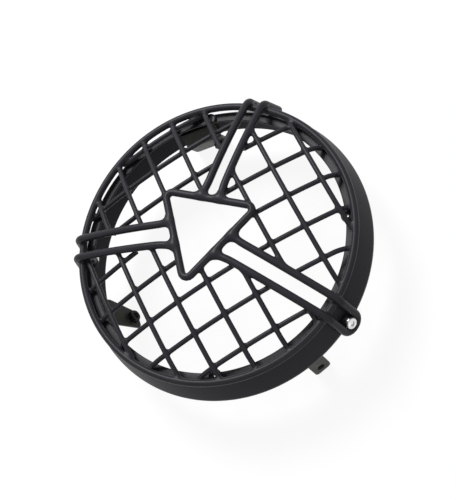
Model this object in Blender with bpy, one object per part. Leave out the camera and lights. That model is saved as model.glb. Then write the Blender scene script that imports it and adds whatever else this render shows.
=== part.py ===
"""Headlight grille for a motorbike.

A domed mesh of crossing wires is held between a round rim rod and the front flange of a flared
sheet band. A triangle of thicker rod stands at the crown, and three hairpin arms run from its sides
over the rim to lugs that are screwed to the band. The wires end at the triangle and at the arms,
which are open inside. Three flat brackets carry the grille from behind. Units are metres, +Z points out of the front of the grille, and the grille
stands on the ends of its brackets.
"""
import math

import bmesh
import bpy
from mathutils import Matrix, Vector

MM = 0.001
GAP = 0.3 * MM                      # clearance between pieces that touch

# Rim rod and the height of its plane above the bracket ends
RIM_RADIUS = 97.9 * MM
RIM_ROD = 4.1 * MM
RIM_HEIGHT = 60.0 * MM

# Wire mesh: front wires run down to the right, back wires up to the right
WIRE = 2.9 * MM
PITCH = 24.0 * MM
FRONT_SHIFT = 11.2 * MM             # one front wire from the axis
BACK_SHIFT = -7.9 * MM              # one back wire from the axis
WIRE_MARGIN = 11.3 * MM             # no wire lies nearer the middle of the rim rod than this
CROWN = 15.4 * MM                   # height of the back wires at the axis
DOME_EDGE = -0.9 * MM               # height of the dome at the rim rod
TUCK_WIDTH = 9.0 * MM               # where the wire ends turn down under the rod
DOME_END = RIM_RADIUS - RIM_ROD / 2 + GAP
DOME_SLOPE = 2 * (CROWN - DOME_EDGE) / DOME_END
LAYER = WIRE * math.hypot(1.0, DOME_SLOPE) + GAP
SHORTEST_WIRE = 4.5 * MM            # a piece of wire shorter than this is left out

# Triangle and hairpin arms
ARM_ROD = 4.7 * MM
TRIANGLE_SIDE = 67.1 * MM           # between the corners of its middle line, before the bends
TRIANGLE_BEND = 4.0 * MM
TRIANGLE_MIDDLE = (-1.3 * MM, 2.2 * MM)
TRIANGLE_TURN = math.radians(1.8)
TRIANGLE_LIFT = 0.7 * MM            # above the crown of the front wires
ARM_BEND = 6.0 * MM
ARM_LIFT = 0.3 * MM                 # of the legs over the back wires, at the axis
LEG_FLARE = 1.8 * MM                # each leg spreads by this much where it meets the triangle
LEG_FLARE_LENGTH = 14.0 * MM
TOP_SPREAD = (11.6 * MM, 10.7 * MM)     # between the legs' middle lines at the triangle, at the rim
LEFT_SPREAD = (15.0 * MM, 13.5 * MM)
RIGHT_SPREAD = (14.4 * MM, 13.5 * MM)
LUG_SPREAD = 13.5 * MM
# name, direction, spread, sideways shift of the whole arm, direction that its triangle side faces
ARMS = (
    ("top", math.radians(91.0), TOP_SPREAD, 1.1 * MM, math.radians(90.0) + TRIANGLE_TURN),
    ("left", math.radians(196.3), LEFT_SPREAD, 0.0, math.radians(210.0) + TRIANGLE_TURN),
    ("right", math.radians(-15.6), RIGHT_SPREAD, -1.6 * MM, math.radians(-30.0) + TRIANGLE_TURN),
)

# Sheet band
SHEET = 1.5 * MM
SHOULDER_INSET = 1.1 * MM           # the front corner, inside the rim rod's middle line
FLANGE_WIDTH = 7.2 * MM
SHOULDER_BEND = 1.6 * MM
FLARE = 8.1 * MM                    # from the front corner out to where the straight walls would meet
RIDGE_DEPTH = 22.3 * MM
RIDGE_BEND = 4.0 * MM
BACK_DRAW = 5.9 * MM                # from there in to the back edge
BACK_LENGTH = 13.8 * MM
SHOULDER_RADIUS = RIM_RADIUS - SHOULDER_INSET
SHOULDER_DEPTH = RIM_ROD / 2 + WIRE + 2 * GAP + 0.05 * MM
FLANGE_RADIUS = SHOULDER_RADIUS - FLANGE_WIDTH
RIDGE_RADIUS = SHOULDER_RADIUS + FLARE
BACK_RADIUS = RIDGE_RADIUS - BACK_DRAW
BACK_DEPTH = RIDGE_DEPTH + BACK_LENGTH

# Lugs: the screw through each hairpin, on a spacer that fills the loop
LUG_DEPTH = 19.5 * MM
SCREW = 5.0 * MM
HEAD = LUG_SPREAD - ARM_ROD - 2.4 * GAP
HEAD_HEIGHT = 2.9 * MM
HEX_KEY = 3.2 * MM
HEX_DEPTH = 1.7 * MM
NUT = 8.0 * MM                      # across the flats
NUT_HEIGHT = 4.0 * MM

# Eyelets on the flange
EYELET = 8.4 * MM
EYELET_HOLE = 2.5 * MM
EYELET_HEIGHT = 2.2 * MM
EYELET_SET_IN = 2.2 * MM            # how far it reaches past the flange's inner edge
EYELET_RADIUS = FLANGE_RADIUS - EYELET_SET_IN + EYELET / 2
EYELETS = (("right", 22.7), ("top", 111.5), ("left", 202.0), ("bottom", -70.6))

# Drain slot at the lowest point of the band
DRAIN_LENGTH = 9.0 * MM
DRAIN_WIDTH = 2.2 * MM
DRAIN_DEPTH = RIDGE_DEPTH + 3.2 * MM
DRAIN_ANGLE = math.radians(-91.0)

# Rear brackets
STRIP = 2.0 * MM
STRIP_WIDTH = 12.6 * MM
STRIP_ROOT_DEPTH = RIDGE_DEPTH + 3.7 * MM
STRIP_CORNER = 3.0 * MM
STRIP_HOLE = 5.5 * MM
STRIP_HOLE_FROM_END = 6.6 * MM
# name, direction, how far the end leans out from the band's back edge, width at the root,
# sideways lean of the end, side of the nut: 1 is outwards
BRACKETS = (
    ("right", math.radians(-34.7), -0.4 * MM, STRIP_WIDTH, 0.0, -1),
    ("upper", math.radians(124.0), 3.5 * MM, STRIP_WIDTH, 0.0, 1),
    ("left", math.radians(-142.0), -10.3 * MM, 20.0 * MM, 4.6 * MM, -1),
)

ROUND_STEPS = 80
SMALL_STEPS = 24
WIRE_STEPS = 16


def clear_scene():
    for obj in list(bpy.data.objects):
        bpy.data.objects.remove(obj, do_unlink=True)


def paint(name, colour, roughness, metallic):
    material = bpy.data.materials.new(name)
    material.use_nodes = True
    shader = material.node_tree.nodes["Principled BSDF"]
    shader.inputs["Base Color"].default_value = (*colour, 1.0)
    shader.inputs["Roughness"].default_value = roughness
    shader.inputs["Metallic"].default_value = metallic
    return material


def add_empty(name, parent=None, location=(0.0, 0.0, 0.0), rotation=(0.0, 0.0, 0.0)):
    empty = bpy.data.objects.new(name, None)
    bpy.context.collection.objects.link(empty)
    empty.parent = parent
    empty.location = location
    empty.rotation_euler = rotation
    return empty


def add_object(name, data, parent, material=None):
    obj = bpy.data.objects.new(name, data)
    bpy.context.collection.objects.link(obj)
    obj.parent = parent
    if material:
        obj.data.materials.append(material)
    return obj


def add_rod(name, points, diameter, parent, material, cyclic=False):
    """A round rod along a line of points."""
    curve = bpy.data.curves.new(name, "CURVE")
    curve.dimensions = "3D"
    curve.bevel_depth = diameter / 2
    curve.bevel_resolution = 2
    curve.fill_mode = "FULL"
    curve.use_fill_caps = not cyclic
    spline = curve.splines.new("POLY")
    spline.points.add(len(points) - 1)
    for spot, point in zip(spline.points, points):
        spot.co = (*point, 1.0)
    spline.use_cyclic_u = cyclic
    spline.use_smooth = True
    return add_object(name, curve, parent, material)


def finish_mesh(name, bm, sharp=40.0):
    bmesh.ops.recalc_face_normals(bm, faces=bm.faces[:])
    mesh = bpy.data.meshes.new(name)
    bm.to_mesh(mesh)
    bm.free()
    mesh.shade_smooth()
    mesh.set_sharp_from_angle(angle=math.radians(sharp))
    return mesh


def ring(radius, height, flats=False, steps=SMALL_STEPS):
    """A closed ring of points, round or six-sided with its radius to the flats."""
    points = []
    for step in range(steps):
        angle = 2 * math.pi * step / steps
        reach = radius
        if flats:
            sixth = math.pi / 3
            reach = radius / math.cos((angle % sixth) - sixth / 2)
        points.append(Vector((reach * math.cos(angle), reach * math.sin(angle), height)))
    return points


def skin_rings(name, rings, hollow):
    """A closed skin over rings of equal count, joined end to end or capped."""
    bm = bmesh.new()
    loops = [[bm.verts.new(point) for point in points] for points in rings]
    count = len(loops[0])
    pairs = list(zip(loops, loops[1:]))
    if hollow:
        pairs.append((loops[-1], loops[0]))
    for lower, upper in pairs:
        for step in range(count):
            after = (step + 1) % count
            bm.faces.new((lower[step], lower[after], upper[after], upper[step]))
    if not hollow:
        bm.faces.new(loops[0])
        bm.faces.new(loops[-1])
    return finish_mesh(name, bm)


def turned(name, profile, steps=ROUND_STEPS):
    """A solid turned about Z from a closed outline of radius and height pairs."""
    bm = bmesh.new()
    verts = [bm.verts.new((radius, 0.0, height)) for radius, height in profile]
    edges = [bm.edges.new(pair) for pair in zip(verts, verts[1:] + verts[:1])]
    bmesh.ops.spin(bm, geom=verts + edges, axis=(0, 0, 1), cent=(0, 0, 0),
                   angle=2 * math.pi, steps=steps, use_merge=True)
    bmesh.ops.remove_doubles(bm, verts=bm.verts[:], dist=1e-7)
    return finish_mesh(name, bm)


def rounded(corners, bends, steps):
    """An open outline with an arc of the given bend at each inner corner."""
    points = [Vector(corners[0])]
    for before, corner, after, bend in zip(corners, corners[1:], corners[2:], bends):
        corner = Vector(corner)
        back = (Vector(before) - corner).normalized()
        ahead = (Vector(after) - corner).normalized()
        half = back.angle(ahead) / 2
        start = corner + back * (bend / math.tan(half))
        centre = corner + (back + ahead).normalized() * (bend / math.sin(half))
        turn = (start - centre).angle(corner + ahead * (bend / math.tan(half)) - centre)
        spoke = start - centre
        across = (back * -1)
        for step in range(steps + 1):
            angle = turn * step / steps
            points.append(centre + spoke * math.cos(angle) + across * bend * math.sin(angle))
    points.append(Vector(corners[-1]))
    return points


def offset_corners(corners, distance):
    """Corners of the outline moved sideways, to the right of its direction for a plus."""
    lines = []
    for start, end in zip(corners, corners[1:]):
        along = (Vector(end) - Vector(start)).normalized()
        side = Vector((along.y, -along.x)) * distance
        lines.append((Vector(start) + side, along))
    moved = [lines[0][0]]
    for (start, along), (other, direction) in zip(lines, lines[1:]):
        cross = along.x * direction.y - along.y * direction.x
        gap = other - start
        moved.append(start + along * ((gap.x * direction.y - gap.y * direction.x) / cross))
    last = Vector(corners[-1]) - Vector(corners[-2])
    moved.append(lines[-1][0] + last.normalized() * last.dot(lines[-1][1]))
    return moved


BAND_CORNERS = (
    (FLANGE_RADIUS, -SHOULDER_DEPTH),
    (SHOULDER_RADIUS, -SHOULDER_DEPTH),
    (RIDGE_RADIUS, -RIDGE_DEPTH),
    (BACK_RADIUS, -BACK_DEPTH),
)


def wall_radius(depth, inset, front):
    """Radius of the band's straight front or back wall at a depth, moved inwards by inset."""
    start, end = (BAND_CORNERS[1], BAND_CORNERS[2]) if front else (BAND_CORNERS[2], BAND_CORNERS[3])
    slope = (end[0] - start[0]) / (start[1] - end[1])
    return start[0] + slope * (depth + start[1]) - inset * math.hypot(1.0, slope)


def dome_height(radius):
    return CROWN - (CROWN - DOME_EDGE) * (radius / DOME_END) ** 2


def back_height(radius):
    """Height of the back wires over the plane of the rim rod, under which their ends turn down."""
    seat = -(RIM_ROD / 2 + GAP + WIRE / 2)
    tuck = max(0.0, (radius - DOME_END + TUCK_WIDTH) / TUCK_WIDTH)
    return seat if radius > DOME_END else dome_height(radius) - (DOME_EDGE - seat) * tuck ** 2


def front_height(radius):
    return back_height(radius) + LAYER


ARM_CROWN = CROWN + (WIRE / 2 + ARM_ROD / 2) * math.hypot(1.0, DOME_SLOPE) + GAP + ARM_LIFT
ARM_AT_RIM = RIM_ROD / 2 + ARM_ROD / 2 + 4 / 3 * GAP
TRIANGLE_HEIGHT = CROWN + LAYER + TRIANGLE_LIFT
TRIANGLE_APOTHEM = TRIANGLE_SIDE / (2 * math.sqrt(3))


def arm_height(radius):
    """Height of the hairpin legs, which pass over the back wires and the rim rod."""
    return ARM_CROWN - (ARM_CROWN - ARM_AT_RIM) * (radius / RIM_RADIUS) ** 2


DOWN_RIGHT = Vector((math.sqrt(0.5), -math.sqrt(0.5)))
UP_RIGHT = Vector((math.sqrt(0.5), math.sqrt(0.5)))
FRONT_END = RIM_RADIUS - RIM_ROD / 2 - GAP      # the front wires butt against the rim rod
BACK_END = RIM_RADIUS - RIM_ROD / 4             # the back wires pass under it


def wire_offsets(shift):
    """Distances from the axis of a set of wires, which stop short of the rim rod."""
    limit = RIM_RADIUS - WIRE_MARGIN
    first = math.ceil((-limit - shift) / PITCH)
    last = math.floor((limit - shift) / PITCH)
    return [shift + PITCH * index for index in range(first, last + 1)]


def wire_reach(offset, end_radius):
    return math.sqrt(end_radius ** 2 - (abs(offset) + WIRE / 2) ** 2)


def side_distance(facing):
    """How far the middle line of a triangle side is from the axis."""
    return TRIANGLE_APOTHEM + Vector(TRIANGLE_MIDDLE).dot(unit(facing))


def half_spread(radius, spread, facing):
    """Half the distance between the legs of an arm at a radius, up to the rim."""
    at_triangle, at_rim = spread
    start = side_distance(facing)
    share = min(1.0, max(0.0, (radius - start) / (RIM_RADIUS - start)))
    fade = min(1.0, max(0.0, (radius - start) / LEG_FLARE_LENGTH))
    return (at_triangle + (at_rim - at_triangle) * share) / 2 + LEG_FLARE * (1 - fade) ** 2


def unit(angle):
    return Vector((math.cos(angle), math.sin(angle)))


def keep_off(along, edge, beside):
    """How far the end of a wire stays from the middle line of a rod that it meets."""
    return ARM_ROD / 2 + GAP + WIRE / 2 * abs(along.dot(edge)) if beside else 0.0


def is_open(spot, along, beside):
    """Whether a point lies inside the triangle or between the legs of an arm, without wires."""
    from_middle = spot - Vector(TRIANGLE_MIDDLE)
    inside = True
    for _, direction, spread, aside, facing in ARMS:
        normal = unit(facing)
        edge = unit(facing + math.pi / 2)
        if from_middle.dot(normal) - TRIANGLE_APOTHEM > keep_off(along, edge, beside):
            inside = False
        radius = spot.dot(unit(direction))
        sideways = abs(spot.dot(unit(direction + math.pi / 2)) - aside)
        room = half_spread(radius, spread, facing) + keep_off(along, unit(direction), beside)
        if radius > side_distance(facing) and sideways < room:
            return True
    return inside


def wire_runs(offset, across, along, reach, beside):
    """Stretches of a wire, by distance along it, that are left outside the triangle and arms."""
    step = 0.1 * MM
    count = int(2 * reach / step)
    runs = []
    begin = None
    for index in range(count + 1):
        run = -reach + 2 * reach * index / count
        free = not is_open(across * offset + along * run, along, beside)
        if free and begin is None:
            begin = run
        if begin is not None and (index == count or not free):
            end = run if free else run - 2 * reach / count
            if end - begin > SHORTEST_WIRE:
                runs.append((begin, end))
            begin = None
    return runs


def wire_points(offset, across, along, reach, height, run):
    """Points of one stretch of a wire that is straight from the front and bent over the dome."""
    begin, end = run
    stops = [begin]
    for step in range(WIRE_STEPS + 1):
        stop = reach * math.sin(math.pi / 2 * (2 * step / WIRE_STEPS - 1))
        if begin + WIRE / 2 < stop < end - WIRE / 2:
            stops.append(stop)
    points = []
    for stop in stops + [end]:
        spot = across * offset + along * stop
        points.append((spot.x, spot.y, height(math.hypot(offset, stop))))
    return points


def add_wires(name, shift, across, along, end_radius, height, beside, root, material):
    for index, offset in enumerate(wire_offsets(shift)):
        reach = wire_reach(offset, end_radius)
        for piece, run in enumerate(wire_runs(offset, across, along, reach, beside)):
            points = wire_points(offset, across, along, reach, height, run)
            ending = "_" + "abcd"[piece] if piece else ""
            add_rod(f"{name}_{index + 1}{ending}", points, WIRE, root, material)


def add_mesh_wires(root, material):
    """The front wires end beside the rods that they meet, and the back wires end under them."""
    add_wires("front_wire", FRONT_SHIFT, UP_RIGHT, DOWN_RIGHT, FRONT_END, front_height, True,
              root, material)
    add_wires("back_wire", BACK_SHIFT, -DOWN_RIGHT, UP_RIGHT, BACK_END, back_height, False,
              root, material)


def add_rim_rod(root, material):
    points = ring(RIM_RADIUS, 0.0, steps=ROUND_STEPS)
    add_rod("rim_rod", points, RIM_ROD, root, material, cyclic=True)


def add_triangle(root, material):
    """Point down, with its corners bent round."""
    reach = TRIANGLE_SIDE / math.sqrt(3)
    corners = []
    for index in range(3):
        corners.append(unit(math.radians(-90.0 + 120.0 * index) + TRIANGLE_TURN) * reach)
    points = []
    for index in range(3):
        before = (corners[index - 1] + corners[index]) / 2
        after = (corners[index] + corners[(index + 1) % 3]) / 2
        points += rounded((before, corners[index], after), (TRIANGLE_BEND,), 6)[:-1]
    middle = Vector(TRIANGLE_MIDDLE)
    lifted = [(*(point + middle), TRIANGLE_HEIGHT) for point in points]
    add_rod("triangle_frame", lifted, ARM_ROD, root, material, cyclic=True)


def arm_tilt():
    """Tilt of the legs outside the rim, which pass the rim rod and lie against the band's ridge."""
    front = Vector(BAND_CORNERS[1]) - Vector(BAND_CORNERS[2])
    back = Vector(BAND_CORNERS[3]) - Vector(BAND_CORNERS[2])
    inwards = (front.normalized() + back.normalized()).normalized()
    ridge = Vector(BAND_CORNERS[2]) + inwards * (RIDGE_BEND / math.sin(front.angle(back) / 2))
    run = ridge - Vector((RIM_RADIUS, 0.0))
    extra = RIDGE_BEND - RIM_ROD / 2
    return math.atan2(run.x, -run.y) + math.asin(extra / run.length)


ARM_TILT = arm_tilt()
LUG_RADIUS = (RIM_RADIUS + (RIM_ROD / 2 + ARM_ROD / 2 + GAP) / math.cos(ARM_TILT)
              + LUG_DEPTH * math.tan(ARM_TILT))


def leg_start(side, direction, spread, aside, facing):
    """How far out a leg starts so that its end just clears the triangle's side."""
    away = side * (spread[0] / 2 + LEG_FLARE)
    slope = math.atan(2 * LEG_FLARE / LEG_FLARE_LENGTH)
    lean = facing - direction
    corner = ARM_ROD / 2 * abs(math.sin(lean + side * slope))
    clear = side_distance(facing) + ARM_ROD / 2 + GAP + corner
    return (clear - (aside + away) * math.sin(lean)) / math.cos(lean)


def leg_profile(start):
    """One leg from the triangle to its bend, as pairs of radius and height in its own plane."""
    foot = LUG_RADIUS - LUG_DEPTH * math.tan(ARM_TILT)
    corner_radius = foot - arm_height(foot) * math.tan(ARM_TILT)
    corner = (corner_radius, arm_height(corner_radius))
    last_on_dome = corner_radius - 2 * ARM_BEND
    over = []
    steps = 9
    for step in range(steps):
        radius = start + (last_on_dome - start) * (step / steps) ** 1.6
        over.append(Vector((radius, arm_height(radius))))
    bend = rounded(((last_on_dome, arm_height(last_on_dome)), corner, (LUG_RADIUS, -LUG_DEPTH)),
                   (ARM_BEND,), 5)
    return over + bend[:-1]


def leg_points(side, direction, spread, aside, facing):
    points = []
    for radius, height in leg_profile(leg_start(side, direction, spread, aside, facing)):
        away = half_spread(radius, spread, facing)
        if radius > RIM_RADIUS:
            share = min(1.0, (ARM_AT_RIM - height) / (ARM_AT_RIM + LUG_DEPTH))
            away += (LUG_SPREAD - spread[1]) / 2 * share
        points.append((radius, aside + side * away, height))
    return points


def add_arm(name, direction, spread, aside, facing, root, material):
    frame = add_empty(f"{name}_arm_frame", root, rotation=(0.0, 0.0, direction))
    legs = [leg_points(side, direction, spread, aside, facing) for side in (1, -1)]
    bend = LUG_SPREAD / 2
    turn = []
    steps = 9
    for step in range(steps):
        angle = math.pi * step / (steps - 1)
        down = bend * math.sin(angle)
        turn.append((LUG_RADIUS + down * math.sin(ARM_TILT), aside + bend * math.cos(angle),
                     -LUG_DEPTH - down * math.cos(ARM_TILT)))
    add_rod(f"{name}_arm", legs[0] + turn + legs[1][::-1], ARM_ROD, frame, material)
    return frame


def add_lug(name, aside, frame, dark, bright):
    """Screw, spacer and nut of one hairpin, about an axis square to its loop."""
    lug = add_empty(f"{name}_lug_frame", frame, (LUG_RADIUS, aside, -LUG_DEPTH),
                    (0.0, math.pi / 2 - ARM_TILT, 0.0))
    base = 0.0
    nut_top = nut_seat()
    tip = nut_top - NUT_HEIGHT - 1.0 * MM
    top = base + HEAD_HEIGHT
    rings = [
        ring(SCREW / 2 - 0.5 * MM, tip),
        ring(SCREW / 2, tip + 0.6 * MM),
        ring(SCREW / 2, base),
        ring(HEAD / 2, base),
        ring(HEAD / 2, base + 0.35 * HEAD_HEIGHT),
        ring(0.93 * HEAD / 2, base + 0.65 * HEAD_HEIGHT),
        ring(0.78 * HEAD / 2, base + 0.88 * HEAD_HEIGHT),
        ring(0.55 * HEAD / 2, top),
        ring(HEX_KEY / 2, top, flats=True),
        ring(HEX_KEY / 2, top - HEX_DEPTH, flats=True),
    ]
    add_object(f"{name}_lug_screw", skin_rings(f"{name}_lug_screw", rings, False), lug, bright)
    bore = SCREW / 2 + GAP
    nut_rings = [
        ring(bore, nut_top),
        ring(NUT / 2, nut_top, flats=True),
        ring(NUT / 2, nut_top - NUT_HEIGHT, flats=True),
        ring(bore, nut_top - NUT_HEIGHT),
    ]
    add_object(f"{name}_lug_nut", skin_rings(f"{name}_lug_nut", nut_rings, True), lug, bright)
    spacer_rings = [
        ring(bore, base - GAP),
        ring(HEAD / 2, base - GAP),
        ring(HEAD / 2, nut_top),
        ring(bore, nut_top),
    ]
    spacer = skin_rings(f"{name}_lug_spacer", spacer_rings, True)
    wide = bore + GAP / 3
    cutter = skin_rings(f"{name}_screw_hole", [ring(wide, tip), ring(wide, base)], False)
    hole = add_cutter(f"{name}_screw_hole", cutter, lug)
    return add_object(f"{name}_lug_spacer", spacer, lug, dark), hole


def nut_seat():
    """Height of a lug nut's face, just inside the band at the nut's front corner."""
    corner = -NUT / math.sqrt(3)
    radius_at_axis = wall_radius(LUG_DEPTH, SHEET, True)
    slope = FLARE / (RIDGE_DEPTH - SHOULDER_DEPTH)
    lean = slope * math.cos(ARM_TILT) - math.sin(ARM_TILT)
    rise = math.cos(ARM_TILT) + slope * math.sin(ARM_TILT)
    return (radius_at_axis - LUG_RADIUS + corner * lean) / rise - 2 * GAP


def add_cutter(name, mesh, parent):
    cutter = add_object(name, mesh, parent)
    cutter.hide_render = True
    cutter.display_type = "WIRE"
    return cutter


def cut(obj, cutter):
    boolean = obj.modifiers.new(cutter.name, "BOOLEAN")
    boolean.operation = "DIFFERENCE"
    boolean.solver = "EXACT"
    boolean.object = cutter


def add_band(root, material):
    """The sheet band: a flange at the front, a wall that flares out, and one that draws in."""
    outside = rounded(BAND_CORNERS, (SHOULDER_BEND, RIDGE_BEND), 4)
    inner_corners = offset_corners(BAND_CORNERS, SHEET)
    inside = rounded(inner_corners, (0.4 * MM, RIDGE_BEND - SHEET), 3)
    profile = outside + inside[::-1]
    band = add_object("band", turned("band", profile), root, material)
    slot_frame = add_empty("drain_frame", root, rotation=(0.0, 0.0, DRAIN_ANGLE))
    cut(band, add_cutter("drain_slot", drain_mesh(), slot_frame))
    return band


def drain_mesh():
    """A long hole with round ends, cut along the radius."""
    half = DRAIN_LENGTH / 2 - DRAIN_WIDTH / 2
    inner = []
    outer = []
    steps = 12
    for step in range(steps):
        angle = 2 * math.pi * (step + 0.5) / steps
        side = math.copysign(half, math.cos(angle)) + DRAIN_WIDTH / 2 * math.cos(angle)
        height = -DRAIN_DEPTH + DRAIN_WIDTH / 2 * math.sin(angle)
        inner.append(Vector((BACK_RADIUS - 4 * SHEET, side, height)))
        outer.append(Vector((RIDGE_RADIUS + SHEET, side, height)))
    return skin_rings("drain_slot", [inner, outer], False)


def band_clearance_mesh():
    """The space that the band takes, grown by the clearance, which the spacers are cut to."""
    outside = rounded(offset_corners(BAND_CORNERS, -GAP), (SHOULDER_BEND, RIDGE_BEND), 4)
    core = FLANGE_RADIUS - 4 * SHEET
    profile = [Vector((core, outside[0].y))] + outside + [Vector((core, outside[-1].y))]
    return turned("band_clearance", profile)


def eyelet_is_free(angle):
    """Whether an eyelet at this angle stays clear of the turned down ends of the back wires."""
    middle = Vector((EYELET_RADIUS * math.cos(angle), EYELET_RADIUS * math.sin(angle)))
    top = -SHOULDER_DEPTH + GAP + EYELET_HEIGHT
    for offset in wire_offsets(BACK_SHIFT):
        apart = max(0.0, abs(middle.dot(-DOWN_RIGHT) - offset) - WIRE / 2)
        if apart >= EYELET / 2 + GAP:
            continue
        chord = math.sqrt((EYELET / 2 + GAP) ** 2 - apart ** 2)
        run = min(wire_reach(offset, BACK_END), abs(middle.dot(UP_RIGHT)) + chord)
        radius = math.hypot(abs(offset) + WIRE / 2, run)
        if back_height(radius) - WIRE / 2 < top + GAP:
            return False
    return True


def eyelet_angle(degrees):
    """The nearest angle to the one asked for where the eyelet has room."""
    for step in range(90):
        for way in (1, -1):
            angle = math.radians(degrees + way * step / 4)
            if eyelet_is_free(angle):
                return angle
    return math.radians(degrees)


def add_eyelet(name, degrees, band, root, material):
    """A thick ring on the flange, around a hole in it."""
    angle = eyelet_angle(degrees)
    base = -SHOULDER_DEPTH + GAP
    frame = add_empty(f"{name}_eyelet_frame", root,
                      (EYELET_RADIUS * math.cos(angle), EYELET_RADIUS * math.sin(angle), base))
    outer = EYELET / 2
    inner = EYELET_HOLE / 2
    soft = 0.6 * MM
    steps = 16
    rings = [
        ring(inner, soft, steps=steps),
        ring(inner, EYELET_HEIGHT - soft, steps=steps),
        ring(inner + soft, EYELET_HEIGHT, steps=steps),
        ring(outer - soft, EYELET_HEIGHT, steps=steps),
        ring(outer, EYELET_HEIGHT - soft, steps=steps),
        ring(outer, soft, steps=steps),
        ring(outer - soft, 0.0, steps=steps),
        ring(inner + soft, 0.0, steps=steps),
    ]
    add_object(f"{name}_eyelet", skin_rings(f"{name}_eyelet", rings, True), frame, material)
    hole = skin_rings(f"{name}_eyelet_hole", [ring(inner, -2 * SHEET, steps=steps),
                                              ring(inner, SHEET, steps=steps)], False)
    cut(band, add_cutter(f"{name}_eyelet_hole", hole, frame))


def bracket_line(end_radius):
    """Middle line of a bracket in its own plane: along the band's wall, then to its end."""
    sag = STRIP_WIDTH ** 2 / (8 * BACK_RADIUS) + BACK_RADIUS * (1 - math.cos(math.pi / ROUND_STEPS))
    inset = SHEET + GAP + sag + STRIP / 2
    root = Vector((wall_radius(STRIP_ROOT_DEPTH, inset, False), -STRIP_ROOT_DEPTH))
    knee_depth = BACK_DEPTH + 0.5 * MM
    knee = Vector((wall_radius(knee_depth, inset, False), -knee_depth))
    lean = math.atan2(end_radius - knee.x, RIM_HEIGHT - knee_depth)
    end = Vector((end_radius, -RIM_HEIGHT + STRIP / 2 * abs(math.sin(lean))))
    return root, knee, end


def add_bracket(name, direction, lean_out, root_width, sideways, nut_side, root, dark):
    """A flat strip with a hole near its round-cornered end, and the nut welded behind the hole."""
    frame = add_empty(f"{name}_bracket_frame", root, rotation=(0.0, 0.0, direction))
    corners = bracket_line(BACK_RADIUS + lean_out)
    outer = rounded(offset_corners(corners, -STRIP / 2), (STRIP,), 3)
    inner = rounded(offset_corners(corners, STRIP / 2), (STRIP,), 3)
    bm = bmesh.new()
    sections = []
    for out, back in zip(outer, inner):
        middle = (out + back) / 2
        share = min(1.0, max(0.0, (-middle.y - BACK_DEPTH) / (RIM_HEIGHT - BACK_DEPTH)))
        width = root_width + (STRIP_WIDTH - root_width) * share
        shift = sideways * share
        sections.append([
            bm.verts.new((out.x, shift + width / 2, out.y)),
            bm.verts.new((out.x, shift - width / 2, out.y)),
            bm.verts.new((back.x, shift - width / 2, back.y)),
            bm.verts.new((back.x, shift + width / 2, back.y)),
        ])
    for upper, lower in zip(sections, sections[1:]):
        for step in range(4):
            after = (step + 1) % 4
            bm.faces.new((upper[step], upper[after], lower[after], lower[step]))
    bm.faces.new(sections[0])
    bm.faces.new(sections[-1])
    last = sections[-1]
    ends = [bm.edges.get((last[0], last[3])), bm.edges.get((last[1], last[2]))]
    bmesh.ops.bevel(bm, geom=ends, offset=STRIP_CORNER, segments=4, profile=0.5, affect="EDGES")
    bracket = add_object(f"{name}_bracket", finish_mesh(f"{name}_bracket", bm), frame, dark)
    along = (corners[2] - corners[1]).normalized()
    spot = corners[2] - along * STRIP_HOLE_FROM_END
    share = (-spot.y - BACK_DEPTH) / (RIM_HEIGHT - BACK_DEPTH)
    out_tilt = math.atan2(along.x, -along.y)
    hole_frame = add_empty(f"{name}_bracket_hole_frame", frame, (spot.x, sideways * share, spot.y),
                           (0.0, math.pi / 2 - out_tilt, 0.0))
    hole = skin_rings(f"{name}_bracket_hole", [ring(STRIP_HOLE / 2, -2 * STRIP),
                                               ring(STRIP_HOLE / 2, 2 * STRIP)], False)
    cut(bracket, add_cutter(f"{name}_bracket_hole", hole, hole_frame))
    near = nut_side * (STRIP / 2 + GAP)
    far = nut_side * (STRIP / 2 + GAP + NUT_HEIGHT)
    rings = [
        ring(SCREW / 2, near),
        ring(NUT / 2, near, flats=True),
        ring(NUT / 2, far, flats=True),
        ring(SCREW / 2, far),
    ]
    nut = skin_rings(f"{name}_bracket_nut", rings, True)
    add_object(f"{name}_bracket_nut", nut, hole_frame, dark)


def stand_on_origin(root):
    """Puts the middle of the whole grille's box over the origin, with its lowest point at zero."""
    bpy.context.view_layer.update()
    graph = bpy.context.evaluated_depsgraph_get()
    low = Vector((math.inf,) * 3)
    high = -low
    for obj in bpy.context.scene.objects:
        if obj.type == "EMPTY" or obj.hide_render:
            continue
        shown = obj.evaluated_get(graph)
        for vertex in shown.to_mesh().vertices:
            spot = shown.matrix_world @ vertex.co
            low = Vector(map(min, low, spot))
            high = Vector(map(max, high, spot))
        shown.to_mesh_clear()
    root.location -= Vector(((low.x + high.x) / 2, (low.y + high.y) / 2, low.z))
    bpy.context.view_layer.update()


def build():
    clear_scene()
    black = paint("satin_black_powder_coat", (0.030, 0.030, 0.034), 0.42, 0.0)
    bright = paint("zinc_plated_steel", (0.72, 0.72, 0.72), 0.28, 1.0)
    root = add_empty("ring_axis", location=(0.0, 0.0, RIM_HEIGHT))
    add_rim_rod(root, black)
    add_mesh_wires(root, black)
    add_triangle(root, black)
    band = add_band(root, black)
    clearance = add_cutter("band_clearance", band_clearance_mesh(), root)
    for name, direction, spread, aside, facing in ARMS:
        frame = add_arm(name, direction, spread, aside, facing, root, black)
        spacer, hole = add_lug(name, aside, frame, black, bright)
        cut(spacer, clearance)
        cut(band, hole)
    for name, degrees in EYELETS:
        add_eyelet(name, degrees, band, root, black)
    for name, direction, lean_out, root_width, sideways, nut_side in BRACKETS:
        add_bracket(name, direction, lean_out, root_width, sideways, nut_side, root, black)
    stand_on_origin(root)


build()
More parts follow.
